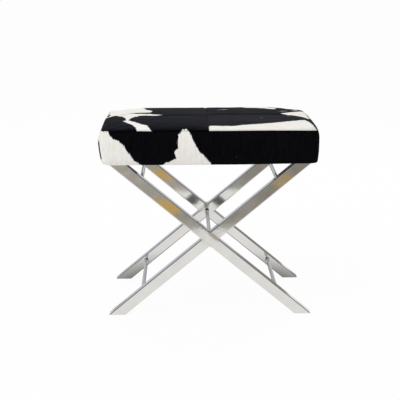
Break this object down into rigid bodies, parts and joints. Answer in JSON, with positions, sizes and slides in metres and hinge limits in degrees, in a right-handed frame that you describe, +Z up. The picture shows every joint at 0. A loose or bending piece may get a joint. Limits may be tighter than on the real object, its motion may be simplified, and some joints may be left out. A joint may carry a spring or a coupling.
{
  "type": "ottoman",
  "caption": "Boxed hide-covered cushion on a frame of two welded square-tube X shapes tied by round rods; rests on flat feet.",
  "frame": {"origin": "on the floor, under the middle of the seat", "axes": "+X along the seat's long side, +Y from the front X frame to the rear one, +Z up"},
  "size_m": [0.562, 0.43, 0.5118],
  "materials": {
    "polished_steel": "polished",
    "zinc_steel": "satin",
    "nylon": "matte",
    "plywood": "matte",
    "foam": "matte",
    "wadding": "matte",
    "cowhide": "satin",
    "dust_cloth": "matte"
  },
  "bodies": {
    "root": {"band_front": "cowhide", "band_left": "cowhide", "band_rear": "cowhide", "band_right": "cowhide", "centre_rod": "polished_steel", "dust_cover": "dust_cloth", "dust_cover_staples": "zinc_steel", "foam_pad": "foam", "front_left_foot_cap": "polished_steel", "front_left_glide": "nylon", "front_left_mounting_plate": "polished_steel", "front_long_bar": "polished_steel", "front_lower_half_bar": "polished_steel", "front_right_foot_cap": "polished_steel", "front_right_glide": "nylon", "front_right_mounting_plate": "polished_steel", "front_upper_half_bar": "polished_steel", "hide_staples": "zinc_steel", "lower_left_rod": "polished_steel", "lower_right_rod": "polished_steel", "mounting_bolts": "zinc_steel", "rear_left_foot_cap": "polished_steel", "rear_left_glide": "nylon", "rear_left_mounting_plate": "polished_steel", "rear_long_bar": "polished_steel", "rear_lower_half_bar": "polished_steel", "rear_right_foot_cap": "polished_steel", "rear_right_glide": "nylon", "rear_right_mounting_plate": "polished_steel", "rear_upper_half_bar": "polished_steel", "seat_board": "plywood", "tee_nuts": "zinc_steel", "top_front_left": "cowhide", "top_front_right": "cowhide", "top_rear_left": "cowhide", "top_rear_right": "cowhide", "upper_left_rod": "polished_steel", "upper_right_rod": "polished_steel", "wadding": "wadding", "washers": "zinc_steel"}
  },
  "joints": []
}
